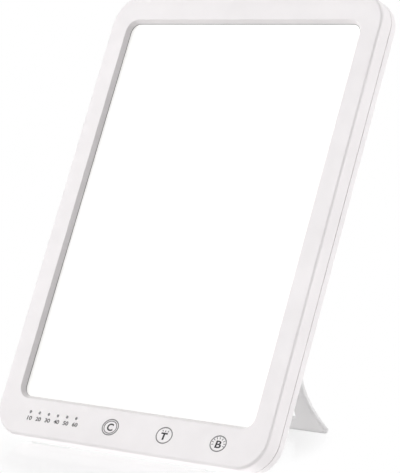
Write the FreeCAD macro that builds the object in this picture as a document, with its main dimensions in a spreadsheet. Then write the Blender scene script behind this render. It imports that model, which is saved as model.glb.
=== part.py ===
import FreeCAD, Part
import math
import os

import Sketcher

# Light therapy lamp: a slim upright case with a lit window, three touch keys and six timer marks under it,
# and a flat flared kickstand hinged in a recess of its back.
#
# Every piece of the case is drawn as the lamp lies on its back: x to the right, y up the panel, and z = 0 on
# the front face, so a depth behind the front face is a negative z. One placement then leans the case back.
# The kickstand is drawn the same way about its hinge axis, with its foot down the -y axis.

os.makedirs("parts", exist_ok=True)
doc = FreeCAD.newDocument("light_therapy_lamp")

SIZES = [
    # case
    ("panel_width", "190"),
    ("panel_height", "264"),
    ("panel_depth", "15.5"),
    ("corner_radius", "18"),
    ("front_edge_radius", "1.5"),
    ("back_edge_radius", "3.2"),
    ("lean", "24.33"),  # degrees from upright
    ("weld", "0.5"),  # how far joined shapes run into each other
    ("reach", "1"),  # how far a cut starts and ends outside what it cuts
    ("front_wall", "2.8"),
    ("side_wall", "2"),
    ("back_wall", "2"),
    ("bezel_depth", "9"),  # front face to the seam
    ("seam_gap", "0.4"),
    ("seam_inset", "0.8"),
    ("tongue_wall", "0.9"),
    ("tongue_reach", "1.1"),
    ("tongue_clearance", "0.1"),
    ("seam_edge_radius", "0.2"),
    # window
    ("window_side", "12.2"),
    ("window_bottom", "21.1"),
    ("window_top_margin", "15.4"),
    ("window_corner", "7.6"),
    ("bevel_width", "1.6"),
    ("bevel_depth", "2.4"),
    ("rim_radius", "0.4"),
    # light stack
    ("diffuser_overlap", "4"),
    ("diffuser_thickness", "1.6"),
    ("guide_inset", "2.3"),  # diffuser edge to light guide edge, at the sides
    ("guide_end_inset", "1.5"),
    ("guide_thickness", "3"),
    ("reflector_thickness", "0.3"),
    ("spreader_thickness", "1"),
    ("chip_gap", "0.1"),
    ("chip_count", "24"),
    ("chip_pitch", "9"),
    ("chip_length", "3"),
    ("chip_width", "2.4"),
    ("chip_thickness", "0.8"),
    ("strip_thickness", "1"),
    ("strip_width", "3"),
    ("strip_gap", "0.1"),  # diffuser to strip, behind it
    ("strip_end_margin", "4.5"),
    # screws that join the shells
    ("boss_radius", "3"),
    ("boss_merge", "0.2"),
    ("boss_rows", "4"),
    ("boss_bottom", "30"),
    ("boss_pitch", "68"),
    ("case_screw_radius", "1.2"),
    ("case_head_radius", "2.1"),
    ("case_head_height", "1.5"),
    ("case_head_depth", "3.2"),  # back face to the seat of the head
    ("case_screw_length", "8.5"),
    ("screw_clearance", "0.15"),
    ("thread_clearance", "0.02"),
    ("tip_gap", "0.4"),  # tip of a screw to the end of its hole
    # control board
    ("board_bottom", "4.5"),
    ("board_height", "13.1"),
    ("board_side", "11.5"),  # case side to board end
    ("board_corner", "3"),
    ("board_depth", "7.9"),
    ("board_thickness", "1.6"),
    ("board_boss_radius", "2.5"),
    ("board_boss_height", "10.8"),
    ("board_boss_side", "17"),  # case side to the left boss; the others stand between the keys
    ("board_screw_radius", "0.85"),
    ("board_head_radius", "1.8"),
    ("board_head_height", "0.9"),
    ("board_screw_length", "4.5"),
    # touch keys and timer marks
    ("key_row", "11.8"),
    ("key_side", "31.4"),  # right side of the case to the nearest key
    ("key_pitch", "37"),
    ("pad_radius", "3.2"),
    ("mark_count", "6"),
    ("mark_row", "13.65"),
    ("mark_side", "25.2"),  # left side of the case to the first mark
    ("mark_pitch", "6.8"),
    ("mark_radius", "0.93"),
    ("pipe_clearance", "0.05"),
    ("pipe_sink", "0.05"),
    ("pipe_bar_depth", "1.6"),
    ("pipe_bar_height", "2.4"),
    ("pipe_bar_end", "2"),
    ("timer_chip_length", "1.6"),
    ("timer_chip_width", "0.8"),
    ("timer_chip_height", "0.6"),
    ("pipe_gap", "0.2"),
    # parts on the control board
    ("controller_side", "73"),  # right side of the case to the middle of the controller
    ("controller_size", "7"),
    ("controller_height", "0.9"),
    ("inductor_side", "40"),  # right side of the case to the middle of the inductor
    ("inductor_size", "8"),
    ("inductor_height", "3.2"),
    ("capacitor_side", "33"),  # left side of the case to the nearest capacitor
    ("capacitor_pitch", "8"),
    ("capacitor_radius", "2.5"),
    ("capacitor_height", "3.2"),
    ("lead_thickness", "0.2"),
    ("lead_width", "2.4"),
    ("socket_length", "4"),
    ("socket_width", "2.8"),
    ("socket_height", "2"),
    # power inlet
    ("jack_side", "19"),  # right side of the case to the middle of the inlet
    ("jack_y", "9.5"),
    ("jack_size", "9"),
    ("jack_front", "3.6"),
    ("jack_nose_radius", "4"),
    ("jack_nose_sink", "0.3"),
    ("jack_bore_radius", "3.1"),
    ("jack_bore_depth", "9.5"),
    ("jack_pin_radius", "1.05"),
    ("jack_pin_sink", "1"),
    ("jack_pin_root", "1.5"),
    ("jack_pin_root_radius", "0.8"),
    ("jack_pin_neck", "0.3"),  # floor of the socket to the full width of the contact
    ("jack_ear_width", "12.6"),
    ("jack_ear_thickness", "1"),
    ("jack_clearance", "0.2"),
    # kickstand
    ("hinge_height", "175"),  # bottom edge of the case to the hinge axis, up the panel
    ("hinge_depth", "13"),
    ("open_angle", "42.2"),  # case to kickstand
    ("leg_thickness", "3.2"),
    ("leg_flush", "0.2"),  # back face of the case to the folded kickstand
    ("leg_waist", "25"),  # half width
    ("leg_foot", "36.3"),  # half width
    ("leg_flare_radius", "45.4"),
    ("leg_foot_corner", "2.4"),
    ("leg_edge_radius", "1.4"),
    ("leg_rail", "9.8"),
    ("leg_foot_bar", "8.1"),
    ("leg_top_bar", "16"),
    ("leg_window_corner", "1.5"),
    ("barrel_radius", "2.4"),
    ("heel_length", "4.6"),
    ("stop_gap", "0.3"),
    ("recess_clearance", "0.8"),
    ("recess_floor_gap", "0.3"),
    ("recess_wall", "1.1"),
    ("pocket_wall", "1.1"),
    ("pocket_clearance", "0.4"),
    ("thumb_radius", "10"),
    ("thumb_height", "56"),
    ("pin_radius", "1.2"),
    ("pin_running", "0.05"),
    ("pin_in_leg", "6"),
    ("cheek_length", "8"),
    ("cheek_half_height", "4"),
    ("washer_thickness", "0.5"),
    ("washer_radius", "2.1"),
    ("washer_running", "0.1"),
    # feet of the case
    ("foot_x", "62"),
    ("foot_length", "26"),
    ("foot_drop", "0.4"),
    ("foot_front_reach", "0.6"),
    ("foot_back_reach", "2.4"),
]

# What follows from the sizes. Depths are measured back from the front face.
DERIVED = [
    ("half_width", "Sizes.panel_width / 2"),
    ("sin_lean", "sin(Sizes.lean * 1 deg)"),
    ("cos_lean", "cos(Sizes.lean * 1 deg)"),
    ("leg_tilt", "Sizes.open_angle - Sizes.lean"),  # kickstand from upright
    ("sin_tilt", "sin(Derived.leg_tilt * 1 deg)"),
    ("cos_tilt", "cos(Derived.leg_tilt * 1 deg)"),
    ("sin_open", "sin(Sizes.open_angle * 1 deg)"),
    ("cos_open", "cos(Sizes.open_angle * 1 deg)"),
    ("inner_half_width", "Derived.half_width - Sizes.side_wall"),
    ("inner_top", "Sizes.panel_height - Sizes.side_wall"),
    ("inner_corner", "Sizes.corner_radius - Sizes.side_wall"),
    ("back_inside", "Sizes.panel_depth - Sizes.back_wall"),
    ("cover_front", "Sizes.bezel_depth + Sizes.seam_gap"),
    ("tongue_front", "Sizes.bezel_depth - Sizes.tongue_reach"),
    ("window_half", "Derived.half_width - Sizes.window_side"),
    ("window_top", "Sizes.panel_height - Sizes.window_top_margin"),
    ("opening_half", "Derived.window_half - Sizes.bevel_width"),
    ("opening_bottom", "Sizes.window_bottom + Sizes.bevel_width"),
    ("opening_top", "Derived.window_top - Sizes.bevel_width"),
    ("opening_corner", "Sizes.window_corner - Sizes.bevel_width"),
    ("diffuser_half", "Derived.opening_half + Sizes.diffuser_overlap"),
    ("diffuser_bottom", "Derived.opening_bottom - Sizes.diffuser_overlap"),
    ("diffuser_top", "Derived.opening_top + Sizes.diffuser_overlap"),
    ("guide_half", "Derived.diffuser_half - Sizes.guide_inset"),
    ("guide_bottom", "Derived.diffuser_bottom + Sizes.guide_end_inset"),
    ("guide_top", "Derived.diffuser_top - Sizes.guide_end_inset"),
    ("guide_depth", "Sizes.front_wall + Sizes.diffuser_thickness"),
    ("reflector_depth", "Derived.guide_depth + Sizes.guide_thickness"),
    ("spreader_depth", "Derived.reflector_depth + Sizes.reflector_thickness"),
    ("chip_x", "Derived.guide_half + Sizes.chip_gap"),
    ("strip_x", "Derived.chip_x + Sizes.chip_thickness"),
    ("flange_x", "Derived.strip_x + Sizes.strip_thickness"),
    ("strip_depth", "Derived.guide_depth + Sizes.strip_gap"),
    ("strip_bottom", "Derived.guide_bottom + Sizes.strip_end_margin"),
    ("strip_top", "Derived.guide_top - Sizes.strip_end_margin"),
    ("chip_first", "(Derived.strip_bottom + Derived.strip_top - (Sizes.chip_count - 1) * Sizes.chip_pitch) / 2"),
    ("boss_x", "Derived.inner_half_width - Sizes.boss_radius + Sizes.boss_merge"),
    ("case_head_seat", "Sizes.panel_depth - Sizes.case_head_depth"),
    ("board_back", "Sizes.board_depth + Sizes.board_thickness"),
    ("case_tip", "Derived.case_head_seat - Sizes.case_screw_length - Sizes.tip_gap"),
    ("board_tip", "Derived.board_back - Sizes.board_screw_length - Sizes.tip_gap"),
    ("board_half", "Derived.half_width - Sizes.board_side"),
    ("board_top", "Sizes.board_bottom + Sizes.board_height"),
    ("key_x", "Derived.half_width - Sizes.key_side"),  # rightmost key
    ("mark_x", "Sizes.mark_side - Derived.half_width"),  # leftmost mark
    ("board_boss_x", "Sizes.board_boss_side - Derived.half_width"),
    ("jack_x", "Derived.half_width - Sizes.jack_side"),
    ("pipe_back", "Sizes.board_depth - Sizes.timer_chip_height - Sizes.pipe_gap"),
    ("jack_back", "Sizes.panel_depth - Sizes.jack_nose_sink"),
    ("jack_floor", "Derived.jack_back - Sizes.jack_bore_depth"),
    ("jack_root", "Derived.jack_floor - Sizes.jack_pin_root"),
    ("leg_front", "Sizes.hinge_depth - Sizes.panel_depth + Sizes.leg_flush + Sizes.leg_thickness"),
    ("leg_back", "Derived.leg_front - Sizes.leg_thickness"),
    ("recess_depth", "Sizes.hinge_depth - Derived.leg_front - Sizes.recess_floor_gap"),
    ("pocket_depth", "Sizes.hinge_depth - Sizes.barrel_radius - Sizes.pocket_clearance"),
    ("pocket_bottom", "Sizes.hinge_height - Sizes.barrel_radius - Sizes.pocket_clearance"),
    ("pocket_top", "Sizes.hinge_height + Sizes.pocket_clearance + sqrt(Sizes.heel_length ^ 2 + Derived.leg_back ^ 2)"),
    ("recess_half", "Sizes.leg_waist + Sizes.recess_clearance"),
    ("flare_step", "Sizes.leg_foot - Sizes.leg_waist"),
    ("flare_rise", "sqrt(2 * Sizes.leg_flare_radius * Derived.flare_step - Derived.flare_step ^ 2)"),
    ("stop_reach", "Sizes.hinge_depth - Derived.pocket_depth - Sizes.stop_gap"),
    # case and kickstand placed so that the feet of both stand on z = 0
    ("arc_y", "Sizes.back_edge_radius"),
    ("arc_depth", "Sizes.panel_depth - Sizes.back_edge_radius"),
    ("case_z", "Derived.arc_depth * Derived.sin_lean - Derived.arc_y * Derived.cos_lean"
               " + Sizes.back_edge_radius + Sizes.foot_drop"),
    ("hinge_up", "Derived.case_z + Sizes.hinge_height * Derived.cos_lean - Sizes.hinge_depth * Derived.sin_lean"),
    ("hinge_behind", "Sizes.hinge_height * Derived.sin_lean + Sizes.hinge_depth * Derived.cos_lean"),
    ("leg_length", "Sizes.leg_edge_radius + (Derived.hinge_up - Sizes.leg_edge_radius"
                   " - (Derived.leg_front - Sizes.leg_edge_radius) * Derived.sin_tilt) / Derived.cos_tilt"),
    ("front_reach", "Sizes.front_edge_radius * (Derived.sin_lean + Derived.cos_lean - 1)"),
    ("back_reach", "Derived.hinge_behind + (Derived.leg_length - Sizes.leg_edge_radius) * Derived.sin_tilt"
                   " - (Derived.leg_back + Sizes.leg_edge_radius) * Derived.cos_tilt + Sizes.leg_edge_radius"),
    ("case_y", "-(Derived.front_reach + Derived.back_reach) / 2"),
    ("hinge_y", "Derived.case_y + Derived.hinge_behind"),
    ("foot_fold", "Sizes.hinge_height - Derived.leg_length"),  # foot of the folded kickstand, up the panel
]


def fill(name, rows, mark):
    """A spreadsheet whose column A names what column B holds."""
    sheet = doc.addObject("Spreadsheet::Sheet", name)
    for line, (alias, content) in enumerate(rows, start=1):
        sheet.set(f"A{line}", alias)
        sheet.setAlias(f"B{line}", alias)
        sheet.set(f"B{line}", mark + content)
    return sheet


sizes = fill("Sizes", SIZES, "")
fill("Derived", DERIVED, "=")
doc.recompute()


def value(expression):
    """The number that an expression on the sheets comes to."""
    return float(sizes.evalExpression(expression))


def plane_of(body, role):
    """One of the body's own origin planes or axes."""
    return next(item for item in body.Origin.OriginFeatures if item.Role == role)


def new_body(name):
    body = doc.addObject("PartDesign::Body", name)
    body.Label = name
    body.AllowCompound = True
    return body


def sketch(body, name, depth="0", role="XY_Plane"):
    """A sketch that lies the given depth behind the front face, or off another origin plane."""
    item = body.newObject("Sketcher::SketchObject", name)
    item.AttachmentSupport = [(plane_of(body, role), "")]
    item.MapMode = "FlatFace"
    sign = "-" if role == "XY_Plane" else ""
    item.setExpression("AttachmentOffset.Base.z", f"{sign}({depth})")
    return item


def drive(item, kind, references, size):
    """A constraint whose value follows an expression."""
    number = item.addConstraint(Sketcher.Constraint(kind, *references, value(size)))
    item.setExpression(f"Constraints[{number}]", size)


def pin_point(item, geometry, position, point):
    drive(item, "DistanceX", (-1, 1, geometry, position), point[0])
    drive(item, "DistanceY", (-1, 1, geometry, position), point[1])


def arc_through(start, end, radius, side):
    """Arc from start to end that bends left (side 1) or right (side -1) and turns less than half a circle."""
    middle = (start + end) / 2
    chord = end - start
    across = FreeCAD.Vector(-chord.y, chord.x, 0).normalize() * side
    centre = middle + across * math.sqrt(radius**2 - (chord.Length / 2) ** 2)
    low, high = (start, end) if side > 0 else (end, start)
    begin = math.atan2(low.y - centre.y, low.x - centre.x)
    finish = math.atan2(high.y - centre.y, high.x - centre.x)
    return Part.ArcOfCircle(Part.Circle(centre, FreeCAD.Vector(0, 0, 1), radius), begin, finish)


def outline(item, corners):
    """A closed outline. Each corner is (x, y) where a line starts, or (x, y, radius, side) where an arc does."""
    points = [FreeCAD.Vector(value(corner[0]), value(corner[1]), 0) for corner in corners]
    first = item.GeometryCount
    ends = []
    for number, corner in enumerate(corners):
        start, end = points[number], points[(number + 1) % len(points)]
        if len(corner) == 2:
            item.addGeometry(Part.LineSegment(start, end), False)
            ends.append((1, 2))
        else:
            item.addGeometry(arc_through(start, end, value(corner[2]), corner[3]), False)
            ends.append((1, 2) if corner[3] > 0 else (2, 1))
    for number, corner in enumerate(corners):
        following = (number + 1) % len(corners)
        joint = (first + number, ends[number][1], first + following, ends[following][0])
        item.addConstraint(Sketcher.Constraint("Coincident", *joint))
        pin_point(item, first + number, ends[number][0], corner)
        if len(corner) == 4:
            drive(item, "Radius", (first + number,), corner[2])


def rounded(item, half, bottom, top, radius):
    """An upright rectangle with round corners, centred on the y axis."""
    outline(item, [
        (f"-({half}) + {radius}", bottom),
        (f"{half} - ({radius})", bottom, radius, 1),
        (half, f"{bottom} + {radius}"),
        (half, f"{top} - ({radius})", radius, 1),
        (f"{half} - ({radius})", top),
        (f"-({half}) + {radius}", top, radius, 1),
        (f"-({half})", f"{top} - ({radius})"),
        (f"-({half})", f"{bottom} + {radius}", radius, 1),
    ])


def rectangle(item, left, right, bottom, top):
    outline(item, [(left, bottom), (right, bottom), (right, top), (left, top)])


def circle(item, x, y, radius):
    number = item.addGeometry(
        Part.Circle(FreeCAD.Vector(value(x), value(y), 0), FreeCAD.Vector(0, 0, 1), value(radius)), False)
    pin_point(item, number, 3, (x, y))
    drive(item, "Radius", (number,), radius)


def extrude(body, kind, name, profile, length, reverse):
    feature = body.newObject(f"PartDesign::{kind}", name)
    feature.Profile = profile
    feature.setExpression("Length", length)
    feature.Reversed = reverse
    return feature


def add_back(body, name, profile, length):
    """Material from the sketch towards the back of the lamp."""
    return extrude(body, "Pad", name, profile, length, True)


def add_along(body, name, profile, length):
    """Material from the sketch along its own normal."""
    return extrude(body, "Pad", name, profile, length, False)


def cut_back(body, name, profile, length):
    """A cut from the sketch towards the back of the lamp."""
    return extrude(body, "Pocket", name, profile, length, False)


def round_edges(body, name, base, radius, chosen):
    """A fillet on the edges of base that the function chosen picks."""
    doc.recompute()
    feature = body.newObject("PartDesign::Fillet", name)
    names = [f"Edge{n}" for n, edge in enumerate(base.Shape.Edges, start=1) if chosen(edge.BoundBox)]
    feature.Base = (base, names)
    feature.setExpression("Radius", radius)
    return feature


def flat_at(height):
    """Picks the edges that lie in the plane z = height."""
    return lambda box: abs(box.ZMin - height) < 0.001 and abs(box.ZMax - height) < 0.001


def lean_back(part):
    """Stands a piece of the case up on its feet, leaning back."""
    part.Placement = FreeCAD.Placement(FreeCAD.Vector(), FreeCAD.Rotation(FreeCAD.Vector(1, 0, 0), 90))
    part.setExpression("Placement.Base.y", "Derived.case_y")
    part.setExpression("Placement.Base.z", "Derived.case_z")
    part.setExpression("Placement.Rotation.Angle", "90 - Sizes.lean")


def boss_places():
    """Centres of the screws that join the two shells: one column up each side."""
    rows = range(int(value("Sizes.boss_rows")))
    return [(f"{side} * Derived.boss_x", f"Sizes.boss_bottom + {row} * Sizes.boss_pitch")
            for side in (-1, 1) for row in rows]


BOARD_BOSSES = ["Derived.board_boss_x"] + [f"Derived.key_x - {n} * Sizes.key_pitch" for n in (1.5, 0.5)]
KEYS = [f"Derived.key_x - {n} * Sizes.key_pitch" for n in (2, 1, 0)]
MARKS = [f"Derived.mark_x + {n} * Sizes.mark_pitch" for n in range(int(value("Sizes.mark_count")))]


def front_bezel():
    """Front shell: the frame round the window with its bevel, the side wall down to the seam, and its bosses."""
    body = new_body("front_bezel")
    face = sketch(body, "bezel_outline")
    rounded(face, "Derived.half_width", "0", "Sizes.panel_height", "Sizes.corner_radius")
    block = add_back(body, "bezel_block", face, "Sizes.bezel_depth")
    front = round_edges(body, "bezel_front_edge", block, "Sizes.front_edge_radius", flat_at(0))
    round_edges(body, "bezel_seam_edge", front, "Sizes.seam_edge_radius", flat_at(-value("Sizes.bezel_depth")))
    inside = sketch(body, "bezel_inside", "Sizes.front_wall")
    rounded(inside, "Derived.inner_half_width", "Sizes.side_wall", "Derived.inner_top", "Derived.inner_corner")
    cut_back(body, "bezel_hollow", inside, "Sizes.bezel_depth - Sizes.front_wall + Sizes.reach")
    rabbet = sketch(body, "bezel_rabbet", "Derived.tongue_front - Sizes.tongue_clearance")
    inset = "(Sizes.seam_inset - Sizes.tongue_clearance / 2)"
    rounded(rabbet, f"Derived.half_width - {inset}", inset, f"Sizes.panel_height - {inset}",
            f"Sizes.corner_radius - {inset}")
    cut_back(body, "bezel_seam_rabbet", rabbet, "Sizes.tongue_reach + Sizes.reach")
    opening = sketch(body, "window_opening", "-Sizes.reach")
    rounded(opening, "Derived.opening_half", "Derived.opening_bottom", "Derived.opening_top",
            "Derived.opening_corner")
    cut_back(body, "window_cut", opening, "Sizes.front_wall + 2 * Sizes.reach")
    rim = sketch(body, "window_rim")
    rounded(rim, "Derived.window_half", "Sizes.window_bottom", "Derived.window_top", "Sizes.window_corner")
    land = sketch(body, "window_land", "Sizes.bevel_depth")
    rounded(land, "Derived.opening_half", "Derived.opening_bottom", "Derived.opening_top",
            "Derived.opening_corner")
    bevel = body.newObject("PartDesign::SubtractiveLoft", "window_bevel")
    bevel.Profile = rim
    bevel.Sections = [land]
    bevel.Ruled = True
    low, high = value("Sizes.window_bottom") - 0.01, value("Derived.window_top") + 0.01
    round_edges(body, "window_rim_edge", bevel, "Sizes.rim_radius",
                lambda box: flat_at(0)(box) and box.YMin > low and box.YMax < high)
    bosses = sketch(body, "case_bosses", "Sizes.front_wall - Sizes.weld")
    for x, y in boss_places():
        circle(bosses, x, y, "Sizes.boss_radius")
    add_back(body, "case_boss_columns", bosses, "Sizes.bezel_depth - Sizes.front_wall + Sizes.weld")
    pilots = sketch(body, "case_boss_pilots", "Derived.case_tip")
    for x, y in boss_places():
        circle(pilots, x, y, "Sizes.case_screw_radius + Sizes.thread_clearance")
    cut_back(body, "case_boss_holes", pilots, "Sizes.bezel_depth")
    posts = sketch(body, "board_bosses", "Sizes.front_wall - Sizes.weld")
    for x in BOARD_BOSSES:
        circle(posts, x, "Sizes.board_boss_height", "Sizes.board_boss_radius")
    add_back(body, "board_boss_columns", posts, "Sizes.board_depth - Sizes.front_wall + Sizes.weld")
    board_pilots = sketch(body, "board_boss_pilots", "Derived.board_tip")
    for x in BOARD_BOSSES:
        circle(board_pilots, x, "Sizes.board_boss_height", "Sizes.board_screw_radius + Sizes.thread_clearance")
    cut_back(body, "board_boss_holes", board_pilots, "Sizes.board_depth")
    marks = sketch(body, "timer_holes", "-Sizes.reach")
    for x in MARKS:
        circle(marks, x, "Sizes.mark_row", "Sizes.mark_radius")
    cut_back(body, "timer_hole_cut", marks, "Sizes.front_wall + 1.5 * Sizes.reach")
    return body


def leg_outline(item, grow, foot, top):
    """Outline of the kickstand seen from the front, grown all round: a waist that flares to a wide foot."""
    waist = f"(Sizes.leg_waist + {grow})"
    foot_half = f"(Sizes.leg_foot + {grow})"
    corner = "Sizes.leg_foot_corner"
    flare_top = f"{foot} + {corner} + Derived.flare_rise"
    outline(item, [
        (f"-Sizes.leg_foot + {corner}", f"{foot} - ({grow})"),
        (f"Sizes.leg_foot - {corner}", f"{foot} - ({grow})", f"{corner} + {grow}", 1),
        (foot_half, f"{foot} + {corner}", f"Sizes.leg_flare_radius - ({grow})", -1),
        (waist, flare_top),
        (waist, top),
        (f"-{waist}", top),
        (f"-{waist}", flare_top, f"Sizes.leg_flare_radius - ({grow})", -1),
        (f"-{foot_half}", f"{foot} + {corner}", f"{corner} + {grow}", 1),
    ])


def rear_cover():
    """Back shell: a tray with the recess that the folded kickstand lies in, its hinge cheeks and screw posts."""
    body = new_body("rear_cover")
    face = sketch(body, "cover_outline", "Derived.cover_front")
    rounded(face, "Derived.half_width", "0", "Sizes.panel_height", "Sizes.corner_radius")
    block = add_back(body, "cover_block", face, "Sizes.panel_depth - Derived.cover_front")
    back = round_edges(body, "cover_back_edge", block, "Sizes.back_edge_radius",
                       flat_at(-value("Sizes.panel_depth")))
    round_edges(body, "cover_seam_edge", back, "Sizes.seam_edge_radius", flat_at(-value("Derived.cover_front")))
    tongue = sketch(body, "cover_tongue", "Derived.tongue_front")
    inset = "(Sizes.seam_inset + Sizes.tongue_clearance / 2)"
    rounded(tongue, f"Derived.half_width - {inset}", inset, f"Sizes.panel_height - {inset}",
            f"Sizes.corner_radius - {inset}")
    add_back(body, "cover_tongue_ring", tongue, "Derived.cover_front - Derived.tongue_front + Sizes.weld")
    inner = "(Sizes.seam_inset + Sizes.tongue_wall)"
    mouth = sketch(body, "cover_mouth", "Derived.tongue_front - Sizes.reach")
    rounded(mouth, f"Derived.half_width - {inner}", inner, f"Sizes.panel_height - {inner}",
            f"Sizes.corner_radius - {inner}")
    cut_back(body, "cover_mouth_cut", mouth, "Derived.cover_front - Derived.tongue_front + Sizes.reach")
    inside = sketch(body, "cover_inside", "Derived.cover_front")
    rounded(inside, "Derived.inner_half_width", "Sizes.side_wall", "Derived.inner_top", "Derived.inner_corner")
    cut_back(body, "cover_hollow", inside, "Derived.back_inside - Derived.cover_front")

    # floor and walls of the kickstand recess, inside the tray
    tub = sketch(body, "recess_tub", "Derived.recess_depth - Sizes.recess_wall")
    leg_outline(tub, "(Sizes.recess_clearance + Sizes.recess_wall)", "Derived.foot_fold",
                "Derived.pocket_top + Sizes.recess_wall")
    add_back(body, "recess_tub_block", tub,
             "Derived.back_inside - Derived.recess_depth + Sizes.recess_wall + Sizes.weld")
    thumb_tub = sketch(body, "thumb_tub", "Derived.recess_depth - Sizes.recess_wall")
    for side in (-1, 1):
        circle(thumb_tub, f"{side} * Derived.recess_half", "Sizes.thumb_height",
               "Sizes.thumb_radius + Sizes.recess_wall")
    add_back(body, "thumb_tub_block", thumb_tub,
             "Derived.back_inside - Derived.recess_depth + Sizes.recess_wall + Sizes.weld")
    cheeks = sketch(body, "hinge_cheeks", "Derived.pocket_depth - Sizes.pocket_wall")
    rectangle(cheeks, "-Derived.recess_half - Sizes.cheek_length", "Derived.recess_half + Sizes.cheek_length",
              "Derived.pocket_bottom - Sizes.recess_wall", "Derived.pocket_top + Sizes.recess_wall")
    add_back(body, "hinge_cheek_block", cheeks,
             "Derived.back_inside - Derived.pocket_depth + Sizes.pocket_wall + Sizes.weld")
    posts = sketch(body, "screw_posts", "Sizes.bezel_depth")
    for x, y in boss_places():
        circle(posts, x, y, "Sizes.boss_radius")
    add_back(body, "screw_post_columns", posts, "Derived.back_inside - Sizes.bezel_depth + Sizes.weld")

    recess = sketch(body, "leg_recess", "Derived.recess_depth")
    leg_outline(recess, "Sizes.recess_clearance", "Derived.foot_fold", "Derived.pocket_top")
    cut_back(body, "leg_recess_cut", recess, "Sizes.panel_depth")
    thumbs = sketch(body, "thumb_scoops", "Derived.recess_depth")
    for side in (-1, 1):
        circle(thumbs, f"{side} * Derived.recess_half", "Sizes.thumb_height", "Sizes.thumb_radius")
    cut_back(body, "thumb_scoop_cut", thumbs, "Sizes.panel_depth")
    pocket = sketch(body, "hinge_pocket", "Derived.pocket_depth")
    rectangle(pocket, "-Derived.recess_half", "Derived.recess_half", "Derived.pocket_bottom", "Derived.pocket_top")
    cut_back(body, "hinge_pocket_cut", pocket, "Sizes.panel_depth")
    bore = sketch(body, "hinge_bore", "-Derived.recess_half - Sizes.cheek_length - Sizes.reach", "YZ_Plane")
    circle(bore, "Sizes.hinge_height", "-Sizes.hinge_depth", "Sizes.pin_radius")
    extrude(body, "Pocket", "hinge_bore_cut", bore,
            "2 * (Derived.recess_half + Sizes.cheek_length + Sizes.reach)", True)

    shanks = sketch(body, "screw_holes", "Sizes.bezel_depth - Sizes.reach")
    heads = sketch(body, "screw_counterbores", "Derived.case_head_seat")
    for x, y in boss_places():
        circle(shanks, x, y, "Sizes.case_screw_radius + Sizes.screw_clearance")
        circle(heads, x, y, "Sizes.case_head_radius + Sizes.screw_clearance")
    cut_back(body, "screw_hole_cut", shanks, "Sizes.panel_depth")
    cut_back(body, "screw_counterbore_cut", heads, "Sizes.panel_depth")
    inlet = sketch(body, "inlet_hole", "Derived.back_inside - Sizes.reach")
    circle(inlet, "Derived.jack_x", "Sizes.jack_y", "Sizes.jack_nose_radius + Sizes.jack_clearance")
    cut_back(body, "inlet_hole_cut", inlet, "Sizes.panel_depth")
    return body


def plate(name, half, bottom, top, depth, thickness):
    """A plain rectangular plate of the light stack."""
    body = new_body(name)
    face = sketch(body, f"{name}_outline", depth)
    rectangle(face, f"-({half})", half, bottom, top)
    add_back(body, f"{name}_sheet", face, thickness)
    return body


def heat_spreader():
    """Aluminium back of the light stack, with a flange behind the LED strip at each side."""
    body = plate("heat_spreader", "Derived.flange_x + Sizes.spreader_thickness", "Derived.guide_bottom",
                 "Derived.guide_top", "Derived.spreader_depth", "Sizes.spreader_thickness")
    flanges = sketch(body, "spreader_flanges", "Derived.strip_depth")
    outer = "Derived.flange_x + Sizes.spreader_thickness"
    rectangle(flanges, "Derived.flange_x", outer, "Derived.guide_bottom", "Derived.guide_top")
    rectangle(flanges, f"-({outer})", "-Derived.flange_x", "Derived.guide_bottom", "Derived.guide_top")
    add_back(body, "spreader_flange_walls", flanges, "Derived.spreader_depth - Derived.strip_depth + Sizes.weld")
    return body


def led_strip(side, word):
    """Circuit strip that stands on edge along one side of the light guide."""
    body = new_body(f"led_strip_{word}")
    face = sketch(body, f"strip_{word}_outline", "Derived.strip_depth")
    near, far = f"{side} * Derived.strip_x", f"{side} * Derived.flange_x"
    left, right = (near, far) if side > 0 else (far, near)
    rectangle(face, left, right, "Derived.strip_bottom", "Derived.strip_top")
    add_back(body, f"strip_{word}_board", face, "Sizes.strip_width")
    return body


def led_chips(side, word):
    """Row of LED packages on the strip, facing into the edge of the light guide."""
    body = new_body(f"led_chips_{word}")
    face = sketch(body, f"chip_{word}_outline", "Derived.strip_depth + (Sizes.strip_width - Sizes.chip_width) / 2")
    near, far = f"{side} * Derived.chip_x", f"{side} * Derived.strip_x"
    left, right = (near, far) if side > 0 else (far, near)
    rectangle(face, left, right, "Derived.chip_first - Sizes.chip_length / 2",
              "Derived.chip_first + Sizes.chip_length / 2")
    chip = add_back(body, f"chip_{word}", face, "Sizes.chip_width")
    row = body.newObject("PartDesign::LinearPattern", f"chip_row_{word}")
    row.Originals = [chip]
    row.Direction = (plane_of(body, "Y_Axis"), [""])
    row.setExpression("Length", "Sizes.chip_pitch * (Sizes.chip_count - 1)")
    row.setExpression("Occurrences", "Sizes.chip_count")
    body.Tip = row
    return body


def lead(side, word):
    """Flat flexible lead from the foot of the LED strip down to its socket on the control board."""
    body = new_body(f"strip_lead_{word}")
    face = sketch(body, f"lead_{word}_outline", "Derived.strip_depth + (Sizes.strip_width - Sizes.lead_width) / 2")
    near, far = f"{side} * Derived.strip_x", f"{side} * (Derived.strip_x + Sizes.lead_thickness)"
    left, right = (near, far) if side > 0 else (far, near)
    rectangle(face, left, right, "Derived.board_top - Sizes.socket_width", "Derived.strip_bottom")
    add_back(body, f"lead_{word}_tape", face, "Sizes.lead_width")
    return body


def lead_sockets():
    """The two sockets on the front of the control board that the leads press against."""
    body = new_body("lead_sockets")
    face = sketch(body, "socket_outline", "Sizes.board_depth - Sizes.socket_height")
    inner = "Derived.strip_x - Sizes.socket_length"
    low = "Derived.board_top - Sizes.socket_width"
    rectangle(face, inner, "Derived.strip_x", low, "Derived.board_top")
    rectangle(face, "-Derived.strip_x", f"-({inner})", low, "Derived.board_top")
    add_back(body, "socket_blocks", face, "Sizes.socket_height")
    return body


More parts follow.
